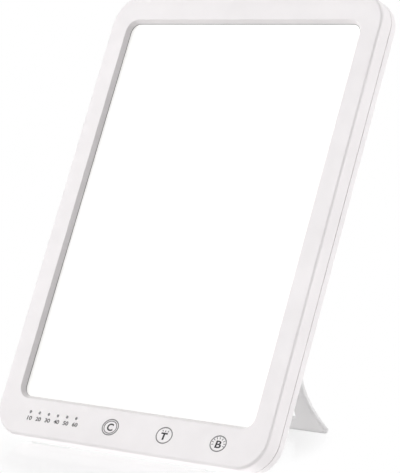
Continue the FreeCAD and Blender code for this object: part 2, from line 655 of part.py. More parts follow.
def control_board():
    """Circuit board across the bottom of the case, behind the keys, with a cut-out for the power inlet."""
    body = new_body("control_board")
    face = sketch(body, "board_outline", "Sizes.board_depth")
    rounded(face, "Derived.board_half", "Sizes.board_bottom", "Derived.board_top", "Sizes.board_corner")
    add_back(body, "board_sheet", face, "Sizes.board_thickness")
    holes = sketch(body, "board_holes", "Sizes.board_depth - Sizes.reach")
    for x in BOARD_BOSSES:
        circle(holes, x, "Sizes.board_boss_height", "Sizes.board_screw_radius + Sizes.screw_clearance")
    half = "(Sizes.jack_size / 2 + Sizes.jack_clearance / 2)"
    rectangle(holes, f"Derived.jack_x - {half}", f"Derived.jack_x + {half}",
              f"Sizes.jack_y - {half}", f"Sizes.jack_y + {half}")
    cut_back(body, "board_hole_cut", holes, "Sizes.board_thickness + 2 * Sizes.reach")
    return body


def screws(name, places, seat, radius, head_radius, head_height, length):
    """A set of pan head screws driven in from the back: heads behind the seat, shanks ahead of it."""
    body = new_body(name)
    shanks = sketch(body, f"{name}_shank", f"{seat} - {length}")
    heads = sketch(body, f"{name}_head", seat)
    for x, y in places:
        circle(shanks, x, y, radius)
        circle(heads, x, y, head_radius)
    add_back(body, f"{name}_shanks", shanks, f"{length} + {head_height} / 2")
    top = add_back(body, f"{name}_heads", heads, head_height)
    crown = -value(f"{seat} + {head_height}")
    round_edges(body, f"{name}_crowns", top, f"{head_height} / 2", flat_at(crown))
    drives = sketch(body, f"{name}_drive", f"{seat} + {head_height} / 2")
    for x, y in places:
        arm = f"{head_radius} * 0.55"
        slot = f"{head_radius} * 0.13"
        outline(drives, [
            (f"{x} - {arm}", f"{y} - {slot}"), (f"{x} - {slot}", f"{y} - {slot}"),
            (f"{x} - {slot}", f"{y} - {arm}"), (f"{x} + {slot}", f"{y} - {arm}"),
            (f"{x} + {slot}", f"{y} - {slot}"), (f"{x} + {arm}", f"{y} - {slot}"),
            (f"{x} + {arm}", f"{y} + {slot}"), (f"{x} + {slot}", f"{y} + {slot}"),
            (f"{x} + {slot}", f"{y} + {arm}"), (f"{x} - {slot}", f"{y} + {arm}"),
            (f"{x} - {slot}", f"{y} + {slot}"), (f"{x} - {arm}", f"{y} + {slot}"),
        ])
    cut_back(body, f"{name}_drive_cut", drives, head_height)
    return body


def touch_pads():
    """Round pads of conductive foam that carry the touch of each key from the inside of the bezel to the board."""
    body = new_body("touch_pads")
    face = sketch(body, "pad_outline", "Sizes.front_wall")
    for x in KEYS:
        circle(face, x, "Sizes.key_row", "Sizes.pad_radius")
    add_back(body, "pad_columns", face, "Sizes.board_depth - Sizes.front_wall")
    return body


def timer_light_pipe():
    """Clear moulding whose six pins fill the timer holes and carry the light of the timer LEDs."""
    body = new_body("timer_light_pipe")
    bar = sketch(body, "pipe_bar", "Sizes.front_wall")
    rectangle(bar, "Derived.mark_x - Sizes.pipe_bar_end",
              "Derived.mark_x + (Sizes.mark_count - 1) * Sizes.mark_pitch + Sizes.pipe_bar_end",
              "Sizes.mark_row - Sizes.pipe_bar_height / 2", "Sizes.mark_row + Sizes.pipe_bar_height / 2")
    add_back(body, "pipe_bar_block", bar, "Sizes.pipe_bar_depth")
    pins = sketch(body, "pipe_pins", "Sizes.pipe_sink")
    for x in MARKS:
        circle(pins, x, "Sizes.mark_row", "Sizes.mark_radius - Sizes.pipe_clearance")
    add_back(body, "pipe_pin_rods", pins, "Derived.pipe_back - Sizes.pipe_sink")
    return body


def on_board(name, places, height, front=False):
    """Parts soldered to the board. Each place is (x, y, half width, half height), or (x, y, radius)."""
    body = new_body(name)
    face = sketch(body, f"{name}_outline", f"Sizes.board_depth - {height}" if front else "Derived.board_back")
    for place in places:
        x, y = place[0], place[1]
        if len(place) == 3:
            circle(face, x, y, place[2])
        else:
            rectangle(face, f"{x} - {place[2]}", f"{x} + {place[2]}", f"{y} - {place[3]}", f"{y} + {place[3]}")
    add_back(body, f"{name}_blocks", face, height)
    return body


def timer_leds():
    places = [(x, "Sizes.mark_row", "Sizes.timer_chip_length / 2", "Sizes.timer_chip_width / 2") for x in MARKS]
    return on_board("timer_leds", places, "Sizes.timer_chip_height", front=True)


def controller_chip():
    half = "Sizes.controller_size / 2"
    place = ("Derived.half_width - Sizes.controller_side", "Sizes.board_boss_height", half, half)
    return on_board("controller_chip", [place], "Sizes.controller_height")


def driver_inductor():
    half = "Sizes.inductor_size / 2"
    place = ("Derived.half_width - Sizes.inductor_side", "Sizes.board_boss_height", half, half)
    return on_board("driver_inductor", [place], "Sizes.inductor_height")


def driver_capacitors():
    places = [(f"Sizes.capacitor_side - Derived.half_width + {n} * Sizes.capacitor_pitch", "Sizes.board_boss_height",
               "Sizes.capacitor_radius") for n in range(2)]
    return on_board("driver_capacitors", places, "Sizes.capacitor_height")


def dc_jack():
    """Power inlet that sits through the board, with its round nose in the back cover."""
    body = new_body("dc_jack")
    half = "Sizes.jack_size / 2"
    face = sketch(body, "jack_outline", "Sizes.jack_front")
    rectangle(face, f"Derived.jack_x - {half}", f"Derived.jack_x + {half}", f"Sizes.jack_y - {half}",
              f"Sizes.jack_y + {half}")
    add_back(body, "jack_block", face, "Derived.back_inside - Sizes.jack_clearance - Sizes.jack_front")
    ears = sketch(body, "jack_ears", "Derived.board_back")
    rectangle(ears, "Derived.jack_x - Sizes.jack_ear_width / 2", "Derived.jack_x + Sizes.jack_ear_width / 2",
              f"Sizes.jack_y - {half}", f"Sizes.jack_y + {half}")
    add_back(body, "jack_ear_plate", ears, "Sizes.jack_ear_thickness")
    nose = sketch(body, "jack_nose", "Derived.back_inside - Sizes.reach")
    circle(nose, "Derived.jack_x", "Sizes.jack_y", "Sizes.jack_nose_radius")
    add_back(body, "jack_nose_ring", nose, "Derived.jack_back - Derived.back_inside + Sizes.reach")
    bore = sketch(body, "jack_bore", "Derived.jack_floor")
    circle(bore, "Derived.jack_x", "Sizes.jack_y", "Sizes.jack_bore_radius")
    cut_back(body, "jack_bore_cut", bore, "Sizes.panel_depth")
    root = sketch(body, "jack_pin_hole", "Derived.jack_root")
    circle(root, "Derived.jack_x", "Sizes.jack_y", "Sizes.jack_pin_root_radius")
    cut_back(body, "jack_pin_hole_cut", root, "Sizes.panel_depth")
    return body


def dc_jack_pin():
    """Centre contact of the power inlet, on a thinner root that is moulded into the floor of the socket."""
    body = new_body("dc_jack_pin")
    root = sketch(body, "pin_root_outline", "Derived.jack_root")
    circle(root, "Derived.jack_x", "Sizes.jack_y", "Sizes.jack_pin_root_radius")
    add_back(body, "pin_root", root, "Sizes.jack_pin_root + Sizes.jack_pin_neck")
    face = sketch(body, "pin_outline", "Derived.jack_floor + Sizes.jack_pin_neck")
    circle(face, "Derived.jack_x", "Sizes.jack_y", "Sizes.jack_pin_radius")
    rod = add_back(body, "pin_rod", face,
                   "Sizes.jack_bore_depth - Sizes.jack_pin_neck - Sizes.jack_pin_sink")
    tip = -value("Derived.jack_back - Sizes.jack_pin_sink")
    round_edges(body, "pin_tip", rod, "Sizes.jack_pin_radius / 2", flat_at(tip))
    return body


def kickstand():
    """Flat flared leg with a tall window, a barrel at its hinge, and a heel whose bevel stops it when open."""
    body = new_body("kickstand")
    face = sketch(body, "leg_outline", "-Derived.leg_front")
    leg_outline(face, "0", "-Derived.leg_length", "0")
    blank = add_back(body, "leg_sheet", face, "Sizes.leg_thickness")
    window = sketch(body, "leg_window", "-Derived.leg_front - Sizes.reach")
    rounded(window, "Sizes.leg_waist - Sizes.leg_rail", "-Derived.leg_length + Sizes.leg_foot_bar",
            "-Sizes.leg_top_bar", "Sizes.leg_window_corner")
    opened = cut_back(body, "leg_window_cut", window, "Sizes.leg_thickness + 2 * Sizes.reach")
    front, back = value("Derived.leg_front"), value("Derived.leg_back")

    def rim(box):
        flat = flat_at(front)(box) or flat_at(back)(box)
        return flat and box.YMax < -0.001

    round_edges(body, "leg_soft_edges", opened, "Sizes.leg_edge_radius", rim)
    section = sketch(body, "barrel_section", "-Sizes.leg_waist", "YZ_Plane")
    circle(section, "0", "0", "Sizes.barrel_radius")
    add_along(body, "barrel", section, "2 * Sizes.leg_waist")
    heel = sketch(body, "heel_section", "-Sizes.leg_waist", "YZ_Plane")
    stop_low = "(Derived.stop_reach - Derived.leg_front * Derived.cos_open) / Derived.sin_open"
    stop_high = "(Derived.stop_reach - Sizes.heel_length * Derived.sin_open) / Derived.cos_open"
    outline(heel, [
        ("-Sizes.weld", "Derived.leg_back"),
        ("Sizes.heel_length", "Derived.leg_back"),
        ("Sizes.heel_length", stop_high),
        (stop_low, "Derived.leg_front"),
        ("-Sizes.weld", "Derived.leg_front"),
    ])
    add_along(body, "heel", heel, "2 * Sizes.leg_waist")
    bore = sketch(body, "barrel_bore", "-Sizes.leg_waist - Sizes.reach", "YZ_Plane")
    circle(bore, "0", "0", "Sizes.pin_radius + Sizes.pin_running")
    extrude(body, "Pocket", "barrel_bore_cut", bore, "2 * (Sizes.leg_waist + Sizes.reach)", True)
    body.Placement = FreeCAD.Placement(FreeCAD.Vector(), FreeCAD.Rotation(FreeCAD.Vector(1, 0, 0), 90))
    body.setExpression("Placement.Base.y", "Derived.hinge_y")
    body.setExpression("Placement.Base.z", "Derived.hinge_up")
    body.setExpression("Placement.Rotation.Angle", "90 + Derived.leg_tilt")
    return body


def across(body, name, start, length, radius):
    """A round bar along x on the hinge axis."""
    face = sketch(body, f"{name}_section", start, "YZ_Plane")
    circle(face, "Sizes.hinge_height", "-Sizes.hinge_depth", radius)
    return add_along(body, name, face, length)


def hinge_pins():
    """Two steel pins, pressed through the cheeks of the cover into the ends of the kickstand's barrel."""
    body = new_body("hinge_pins")
    reach = "Derived.recess_half + Sizes.cheek_length"
    length = f"{reach} - Sizes.leg_waist + Sizes.pin_in_leg"
    across(body, "pin_right", "Sizes.leg_waist - Sizes.pin_in_leg", length, "Sizes.pin_radius")
    across(body, "pin_left", f"-({reach})", length, "Sizes.pin_radius")
    return body


def hinge_washers():
    """Friction washers between the ends of the barrel and the walls of the hinge pocket."""
    body = new_body("hinge_washers")
    start = "Derived.recess_half - Sizes.washer_thickness"
    across(body, "washer_right", start, "Sizes.washer_thickness", "Sizes.washer_radius")
    across(body, "washer_left", "-Derived.recess_half", "Sizes.washer_thickness", "Sizes.washer_radius")
    hole = sketch(body, "washer_hole", "-Derived.recess_half - Sizes.reach", "YZ_Plane")
    circle(hole, "Sizes.hinge_height", "-Sizes.hinge_depth", "Sizes.pin_radius + Sizes.thread_clearance")
    extrude(body, "Pocket", "washer_hole_cut", hole, "2 * (Derived.recess_half + Sizes.reach)", True)
    return body


def case_feet():
    """Two silicone feet under the bottom back edge, cut flat where they stand on the table."""
    body = new_body("case_feet")

    def under(height, back):
        """Point at the height below the middle of the round edge and the way back from its lowest line."""
        return (f"Derived.arc_y - ({height}) * Derived.cos_lean + ({back}) * Derived.sin_lean",
                f"-Derived.arc_depth - ({height}) * Derived.sin_lean - ({back}) * Derived.cos_lean")

    radius = "Sizes.back_edge_radius"
    sole = f"{radius} + Sizes.foot_drop"
    front_seat = under(f"sqrt({radius} ^ 2 - Sizes.foot_front_reach ^ 2)", "-Sizes.foot_front_reach")
    back_seat = under(f"sqrt({radius} ^ 2 - Sizes.foot_back_reach ^ 2)", "Sizes.foot_back_reach")
    for side, word in ((-1, "left"), (1, "right")):
        start = f"{side} * Sizes.foot_x - Sizes.foot_length / 2"
        section = sketch(body, f"foot_section_{word}", start, "YZ_Plane")
        outline(section, [
            (*front_seat, radius, 1),
            back_seat,
            under(sole, "Sizes.foot_back_reach"),
            under(sole, "-Sizes.foot_front_reach"),
        ])
        add_along(body, f"foot_{word}", section, "Sizes.foot_length")
    return body


case_parts = [
    front_bezel(),
    rear_cover(),
    plate("diffuser_panel", "Derived.diffuser_half", "Derived.diffuser_bottom", "Derived.diffuser_top",
          "Sizes.front_wall", "Sizes.diffuser_thickness"),
    plate("light_guide_plate", "Derived.guide_half", "Derived.guide_bottom", "Derived.guide_top",
          "Derived.guide_depth", "Sizes.guide_thickness"),
    plate("reflector_sheet", "Derived.guide_half", "Derived.guide_bottom", "Derived.guide_top",
          "Derived.reflector_depth", "Sizes.reflector_thickness"),
    heat_spreader(),
    led_strip(-1, "left"),
    led_strip(1, "right"),
    led_chips(-1, "left"),
    led_chips(1, "right"),
    lead(-1, "left"),
    lead(1, "right"),
    lead_sockets(),
    control_board(),
    touch_pads(),
    timer_leds(),
    timer_light_pipe(),
    controller_chip(),
    driver_inductor(),
    driver_capacitors(),
    dc_jack(),
    dc_jack_pin(),
    screws("board_screws", [(x, "Sizes.board_boss_height") for x in BOARD_BOSSES], "Derived.board_back",
           "Sizes.board_screw_radius", "Sizes.board_head_radius", "Sizes.board_head_height",
           "Sizes.board_screw_length"),
    screws("case_screws", boss_places(), "Derived.case_head_seat", "Sizes.case_screw_radius",
           "Sizes.case_head_radius", "Sizes.case_head_height", "Sizes.case_screw_length"),
    hinge_pins(),
    hinge_washers(),
    case_feet(),
]
for part in case_parts:
    lean_back(part)
all_parts = case_parts + [kickstand()]

doc.recompute()
faults = [item.Name for item in doc.Objects if {"Invalid", "Error"} & set(item.State)]
faults += [part.Label for part in all_parts if part.Shape.isNull() or not part.Shape.isValid()]
if faults:
    raise RuntimeError("failed: " + ", ".join(faults))
for part in all_parts:
    part.Shape.exportStep(f"parts/{part.Label}.step")
print(len(all_parts), "parts written")
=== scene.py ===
"""Light therapy lamp: finishes for its moulded, pressed and metal parts, and the printed signs in front."""

import math

import bmesh
import bpy
from mathutils import Matrix, Vector


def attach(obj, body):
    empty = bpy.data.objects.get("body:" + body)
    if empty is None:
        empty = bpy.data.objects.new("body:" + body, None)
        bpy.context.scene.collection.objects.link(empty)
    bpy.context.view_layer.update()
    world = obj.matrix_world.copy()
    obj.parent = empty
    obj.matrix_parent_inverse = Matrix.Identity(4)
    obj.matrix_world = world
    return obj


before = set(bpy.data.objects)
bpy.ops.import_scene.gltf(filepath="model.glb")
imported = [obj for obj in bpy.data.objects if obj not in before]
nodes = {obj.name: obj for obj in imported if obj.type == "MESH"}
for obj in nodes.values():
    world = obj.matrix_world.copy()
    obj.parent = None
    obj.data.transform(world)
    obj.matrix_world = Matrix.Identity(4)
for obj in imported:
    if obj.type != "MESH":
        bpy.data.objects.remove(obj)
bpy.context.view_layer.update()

MM = 0.001

# The front face: x to the right, y up the panel, z out of it, with its foot on this point and this lean.
LEAN = math.radians(24.33)
PANEL_FOOT = Vector((0.0, -68.911, 5.752)) * MM
PANEL = Matrix.Translation(PANEL_FOOT) @ Matrix.Rotation(math.radians(90) - LEAN, 4, "X")

# Camera: turned and tilted by these angles, and this many millimetres from the panel's foot to its own
# right, up and back.
YAW = math.radians(39.83)
PITCH = math.radians(5.358)
FORWARD = Vector((-math.sin(YAW) * math.cos(PITCH), math.cos(YAW) * math.cos(PITCH), -math.sin(PITCH)))
RIGHT = Vector((math.cos(YAW), math.sin(YAW), 0))
UP = RIGHT.cross(FORWARD)
CAMERA_RIGHT = 42.68
CAMERA_UP = 112.97
CAMERA_BACK = 1197.16
FOCAL_LENGTH = 172.89

# Print: its height over the face, how far its characters lean, the steps in their curves, and the height
# of a capital in Blender's own font over the font's size.
INK_HEIGHT = 0.04 * MM
SIGN_SLANT = 0.1
CURVE_STEPS = 8
CAPITAL_SHARE = 0.729

# Touch keys: middles of their rings, width and height of the rings in millimetres, and the rings' turn.
KEY_ROW = 11.8 * MM
KEY_PLACES = {"colour": -10.5 * MM, "timer": 27.2 * MM, "brightness": 63.6 * MM}
KEY_SIZES = {"colour": (11.6, 9.0), "timer": (11.1, 9.0), "brightness": (10.8, 8.7)}
KEY_TILT = math.radians(12)
RING_POINTS = 96
RING_LINE = 0.6 * MM
INNER_RING_LINE = 0.5 * MM
INNER_RING_SHARE = 0.79

# Letter in each ring, in millimetres: its shift to the right and up, its width and height, and how much its
# strokes are thickened.
KEY_LETTERS = {"colour": ("C", 0, 0, 4.3, 4.1, 0.13), "timer": ("T", 0, -0.5, 4.4, 3.9, 0.19),
               "brightness": ("B", 0.1, -0.4, 4.0, 3.9, 0.1)}

# Rays over the T: the shift of each to the right and up in millimetres, and its turn in degrees.
TIMER_RAYS = ((-1.5, 2.4, 125), (0.3, 2.25, 90), (2.2, 2.3, 55))
TIMER_RAY_LENGTH = 1.1 * MM
TIMER_RAY_WIDTH = 0.5 * MM

# Rays round the B: they lie on an oval, at equal steps in degrees.
SUN_RAYS = 9
SUN_FIRST = -25
SUN_STEP = 27.5
SUN_HALF_WIDTH = 3.9 * MM
SUN_HALF_HEIGHT = 2.9 * MM
SUN_SHIFT = 0.1 * MM
SUN_RAY_LENGTH = 1.3 * MM
SUN_RAY_WIDTH = 0.42 * MM
RAY_POINTS = 16

# Minutes under the timer marks. The first number is narrower, because of its 1.
MARK_COUNT = 6
MARK_MINUTES = 10
MARK_FIRST = -69.8 * MM
MARK_PITCH = 6.8 * MM
NUMBER_ROW = 10.2 * MM
NUMBER_SHIFT = 0.1 * MM
NUMBER_WIDTH = 3.9 * MM
NUMBER_HEIGHT = 2.3 * MM
NUMBER_WEIGHT = 0.08 * MM
FIRST_NARROWER = 0.4 * MM

# Seal round the lit window, whose grey also paints the shade in the gap between bevel and panel. Its inner
# edge is moved down along the lower side, where the seal is finest.
WINDOW_HALF = 81.18 * MM
WINDOW_LOW = 22.72 * MM
WINDOW_TOP = 246.98 * MM
WINDOW_CORNER = 5.98 * MM
CORNER_STEPS = 8
SEAL_DEPTH = 2.8 * MM
SEAL_WIDTH = 0.4 * MM
SEAL_THICKNESS = 0.16 * MM
SEAL_NARROWER_BELOW = 0.3 * MM
LOWER_SIDE = 60 * MM

# Points nearer than this to each other are merged, and one nearer than this to a middle line is on it.
SAME_POINT = 1e-6
SAME_LINE = 1e-7

# Most of a noise lies between these values.
NOISE_LOW = 0.3
NOISE_HIGH = 0.7

# The wave node draws 3.2 stripes to a unit at a scale of 1, so this makes stripes 1 mm apart.
WEAVE_SCALE = 1 / (0.5 * MM) / 6.28

# Studio: lamps in metres and watts; the sky's share of white for light that falls on the object; and the
# floor, a hair under the feet, with its share of mirror for such light and for what is seen.
LAMP_AIM = Vector((0, 0, 120 * MM))
LAMP_DISTANCE = 8.8
LAMP_SIZE = 3.6
GLOW_HEIGHT = 0.05 * MM
SKY_LIGHT = 0.25
FLOOR_SIZE = 16
FLOOR_GAP = 0.2 * MM
MIRROR_LIGHT = 0.25
MIRROR_SEEN = 0.85

# The floor turns plain white outside an oval round the lamp, between two reaches from the oval's middle.
OVAL_X = -20 * MM
OVAL_Y = -20 * MM
OVAL_STRETCH = 1.3
OVAL_INNER = 85 * MM
OVAL_OUTER = 125 * MM
OVAL_WHITE = 0.66


# camera

def add_camera():
    """Long lens, 40 degrees round to the right of the lamp's front and a little above it."""
    place = PANEL_FOOT + (CAMERA_RIGHT * RIGHT + CAMERA_UP * UP - CAMERA_BACK * FORWARD) * MM
    bpy.ops.object.camera_add(location=place)
    camera = bpy.context.object
    camera.name = "camera"
    camera.rotation_euler = Matrix((RIGHT, UP, -FORWARD)).transposed().to_euler()
    camera.data.sensor_fit = "AUTO"
    camera.data.sensor_width = 36
    camera.data.lens = FOCAL_LENGTH
    camera.data.clip_end = 50
    bpy.context.scene.camera = camera


# materials

def colour(code):
    """Linear colour of an sRGB hex value."""
    parts = [int(code[n:n + 2], 16) / 255 for n in (0, 2, 4)]
    return [c / 12.92 if c <= 0.04045 else ((c + 0.055) / 1.055) ** 2.4 for c in parts] + [1.0]


def add(owner, kind, settings=None, links=None):
    """Adds a node to a material or the world, and links its inputs to other nodes' outputs."""
    node = owner.node_tree.nodes.new(kind)
    for name, value in (settings or {}).items():
        if name in node.inputs:
            node.inputs[name].default_value = value
        else:
            setattr(node, name, value)
    for name, (source, output) in (links or {}).items():
        owner.node_tree.links.new(source.outputs[output], node.inputs[name])
    return node


def new_material(name):
    """Material with no nodes yet."""
    material = bpy.data.materials.new(name)
    material.use_nodes = True
    material.node_tree.nodes.clear()
    return material


def finish(material, settings, links):
    """The material's surface: one Principled shader with these values and links."""
    shader = add(material, "ShaderNodeBsdfPrincipled", settings, links)
    add(material, "ShaderNodeOutputMaterial", {}, {"Surface": (shader, "BSDF")})
    return material


def grain(material, size, detail=2.0, roughness=0.5):
    """Noise whose features are about this many millimetres across."""
    place = add(material, "ShaderNodeTexCoord")
    return add(material, "ShaderNodeTexNoise",
               {"Scale": 1 / (size * MM), "Detail": detail, "Roughness": roughness},
               {"Vector": (place, "Object")})


def between(material, source, output, low, high):
    """Maps the middle of a noise to a range of numbers."""
    return add(material, "ShaderNodeMapRange",
               {"From Min": NOISE_LOW, "From Max": NOISE_HIGH, "To Min": low, "To Max": high},
               {"Value": (source, output)})


def shade(material, source, output, dark, light):
    """Runs between two colours with a noise."""
    ramp = add(material, "ShaderNodeValToRGB", {}, {"Fac": (source, output)})
    ramp.color_ramp.elements[0].position = NOISE_LOW
    ramp.color_ramp.elements[0].color = colour(dark)
    ramp.color_ramp.elements[1].position = NOISE_HIGH
    ramp.color_ramp.elements[1].color = colour(light)
    return ramp


def moulded(name, dark, light, gloss=0.42, texture=0.35, depth=0.006, ior=1.53):
    """Moulded, cast or pressed: fine pits in the skin, and flow that shifts tone and gloss a little."""
    material = new_material(name)
    flow = grain(material, 28, 3.0)
    cloud = grain(material, 6)
    pits = grain(material, texture, 3.0, 0.6)
    tone = shade(material, flow, "Fac", dark, light)
    rough = between(material, cloud, "Fac", gloss - 0.04, gloss + 0.05)
    bump = add(material, "ShaderNodeBump", {"Strength": 0.35, "Distance": depth * MM},
               {"Height": (pits, "Fac")})
    return finish(material, {"IOR": ior},
                  {"Base Color": (tone, "Color"), "Roughness": (rough, "Result"), "Normal": (bump, "Normal")})


def brushed(name, dark, light, along, gloss):
    """Bare or plated metal: a 0.25 mm grain, drawn out into lines where along is less than 1."""
    material = new_material(name)
    place = add(material, "ShaderNodeTexCoord")
    stretch = add(material, "ShaderNodeMapping", {"Scale": along}, {"Vector": (place, "Object")})
    lines = add(material, "ShaderNodeTexNoise", {"Scale": 1 / (0.25 * MM), "Detail": 3.0},
                {"Vector": (stretch, "Vector")})
    tone = shade(material, lines, "Fac", dark, light)
    rough = between(material, lines, "Fac", gloss - 0.06, gloss + 0.08)
    bump = add(material, "ShaderNodeBump", {"Strength": 0.25, "Distance": 0.004 * MM},
               {"Height": (lines, "Fac")})
    return finish(material, {"Metallic": 1.0},
                  {"Base Color": (tone, "Color"), "Roughness": (rough, "Result"), "Normal": (bump, "Normal")})


def opal_acrylic():
    """Cast acrylic with white filler, lit from behind: matt, even and as bright as paper in the sun."""
    material = new_material("opal_acrylic_lit")
    filler = grain(material, 0.8)
    spread = grain(material, 90, 1.0)
    tone = shade(material, spread, "Fac", "F7F7F5", "FCFCFB")
    bump = add(material, "ShaderNodeBump", {"Strength": 0.2, "Distance": 0.003 * MM},
               {"Height": (filler, "Fac")})
    glow = between(material, spread, "Fac", 0.2, 0.22)
    return finish(material, {"Roughness": 0.55, "IOR": 1.49, "Emission Color": colour("FFFDFA")},
                  {"Base Color": (tone, "Color"), "Normal": (bump, "Normal"),
                   "Emission Strength": (glow, "Result")})


def clear_plastic(name, tint, gloss, opacity, ior):
    """Clear or milky plastic: its own faint tint, with a trace of haze that shifts tint and gloss."""
    material = new_material(name)
    haze = grain(material, 3)
    tone = shade(material, haze, "Fac", tint, "F4F8F8")
    rough = between(material, haze, "Fac", gloss, gloss + 0.05)
    return finish(material, {"IOR": ior, "Transmission Weight": 1 - opacity},
                  {"Base Color": (tone, "Color"), "Roughness": (rough, "Result")})


def solder_mask(name, dark, light):
    """Lacquered circuit board: the glass weave shows through the mask as faint stripes 1 mm apart."""
    material = new_material(name)
    place = add(material, "ShaderNodeTexCoord")
    weave = add(material, "ShaderNodeTexWave", {"Scale": WEAVE_SCALE, "Distortion": 0.6, "Detail": 1.0},
                {"Vector": (place, "Object")})
    tone = shade(material, weave, "Fac", dark, light)
    bump = add(material, "ShaderNodeBump", {"Strength": 0.2, "Distance": 0.01 * MM},
               {"Height": (weave, "Fac")})
    return finish(material, {"Roughness": 0.32, "IOR": 1.5},
                  {"Base Color": (tone, "Color"), "Normal": (bump, "Normal")})


def led_package():
    """Phosphor cast in clear silicone: yellow, with lighter grains."""
    material = new_material("led_phosphor")
    crystals = grain(material, 0.25)
    tone = shade(material, crystals, "Fac", "E9C84B", "F6E07C")
    return finish(material, {"Roughness": 0.35, "IOR": 1.5}, {"Base Color": (tone, "Color")})


def printing_ink(name, dark, light):
    """Pad-printed ink: flat, dense and matt, its pigment a little uneven."""
    material = new_material(name)
    pigment = grain(material, 0.3)
    tone = shade(material, pigment, "Fac", dark, light)
    return finish(material, {"Roughness": 0.65, "IOR": 1.45}, {"Base Color": (tone, "Color")})


# signs printed on the front

def deselect():
    """Leaves nothing selected, because an operator acts on all that is."""
    bpy.ops.object.select_all(action="DESELECT")


def settle(piece, name, material):
    """Moves a piece made flat at the origin on to the front face, as part of the case."""
    deselect()
    piece.select_set(True)
    bpy.context.view_layer.objects.active = piece
    piece.name = name
    piece.data.name = name
    piece.matrix_world = PANEL @ piece.matrix_world
    bpy.ops.object.transform_apply(location=True, rotation=True, scale=True)
    piece.data.materials.clear()
    piece.data.materials.append(material)
    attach(piece, "case")


def join(pieces):
    """Makes one piece of several."""
    deselect()
    for piece in pieces:
        piece.select_set(True)
    bpy.context.view_layer.objects.active = pieces[0]
    bpy.ops.object.join()
    return pieces[0]


def thicken(thickness):
    """Pulls the flat faces in edit mode up by this much, turns all faces out and leaves edit mode."""
    bpy.ops.mesh.select_all(action="SELECT")
    bpy.ops.mesh.extrude_region_move(TRANSFORM_OT_translate={"value": (0, 0, thickness)})
    bpy.ops.mesh.select_all(action="SELECT")
    bpy.ops.mesh.normals_make_consistent(inside=False)
    bpy.ops.object.mode_set(mode="OBJECT")


def ring(key, line, share=1.0):
    """Printed ring of a key: an oval, wider than it is high, with its right end turned up."""
    wide, high = (size * MM * share for size in KEY_SIZES[key])
    deselect()
    bpy.ops.mesh.primitive_circle_add(vertices=RING_POINTS, radius=wide / 2, fill_type="NGON")
    piece = bpy.context.object
    piece.scale.y = high / wide
    bpy.ops.object.transform_apply(location=False, rotation=False, scale=True)
    piece.location = (KEY_PLACES[key], KEY_ROW, 0)
    piece.rotation_euler.z = KEY_TILT
    bpy.ops.object.transform_apply(location=True, rotation=True, scale=True)
    bpy.ops.object.mode_set(mode="EDIT")
    bpy.ops.mesh.select_all(action="SELECT")
    bpy.ops.mesh.inset(thickness=line)
    bpy.ops.mesh.delete(type="FACE")
    thicken(INK_HEIGHT)
    return piece


def stroke(x, y, length, width, turn):
    """Short printed line with round ends, its middle at x, y: a disc pulled apart along the line."""
    half_pull = (length - width) / 2
    pull = Vector((half_pull * math.cos(turn), half_pull * math.sin(turn), 0))
    deselect()
    bpy.ops.mesh.primitive_circle_add(vertices=RAY_POINTS, radius=width / 2, fill_type="NGON",
                                      location=(x, y, 0), rotation=(0, 0, turn))
    piece = bpy.context.object
    bpy.ops.object.mode_set(mode="EDIT")
    bpy.ops.mesh.select_all(action="DESELECT")
    shape = bmesh.from_edit_mesh(piece.data)
    for vertex in shape.verts:
        vertex.select_set(vertex.co.x > SAME_LINE)
    shape.select_flush_mode()
    bpy.ops.transform.translate(value=pull)
    bpy.ops.mesh.select_all(action="INVERT")
    bpy.ops.transform.translate(value=-pull)
    thicken(INK_HEIGHT)
    return piece


def letter(text, x, y, wide, high, weight):
    """Printed character or number, its middle at x, y, with its strokes thickened by the weight."""
    deselect()
    bpy.ops.object.text_add(location=(x, y, INK_HEIGHT / 2))
    piece = bpy.context.object
    piece.data.body = text
    piece.data.size = high / CAPITAL_SHARE
    piece.data.shear = SIGN_SLANT
    piece.data.offset = weight
    piece.data.extrude = INK_HEIGHT / 2
    piece.data.resolution_u = CURVE_STEPS
    piece.data.align_x = "CENTER"
    piece.data.align_y = "CENTER"
    bpy.ops.object.convert(target="MESH")
    piece = bpy.context.object
    low = [min(v.co[n] for v in piece.data.vertices) for n in (0, 1)]
    top = [max(v.co[n] for v in piece.data.vertices) for n in (0, 1)]
    piece.data.transform(Matrix.Translation((-(low[0] + top[0]) / 2, -(low[1] + top[1]) / 2, 0)))
    piece.scale = (wide / (top[0] - low[0]), high / (top[1] - low[1]), 1)
    bpy.ops.object.transform_apply(location=False, rotation=False, scale=True)
    bpy.ops.object.mode_set(mode="EDIT")
    bpy.ops.mesh.select_all(action="SELECT")
    bpy.ops.mesh.remove_doubles(threshold=SAME_POINT)
    bpy.ops.mesh.normals_make_consistent(inside=False)
    bpy.ops.object.mode_set(mode="OBJECT")
    return piece


def print_letter(key, ink):
    """The letter in a key's ring."""
    text, right, up, wide, high, weight = KEY_LETTERS[key]
    piece = letter(text, KEY_PLACES[key] + right * MM, KEY_ROW + up * MM, wide * MM, high * MM, weight * MM)
    settle(piece, f"key_{key}_letter", ink)


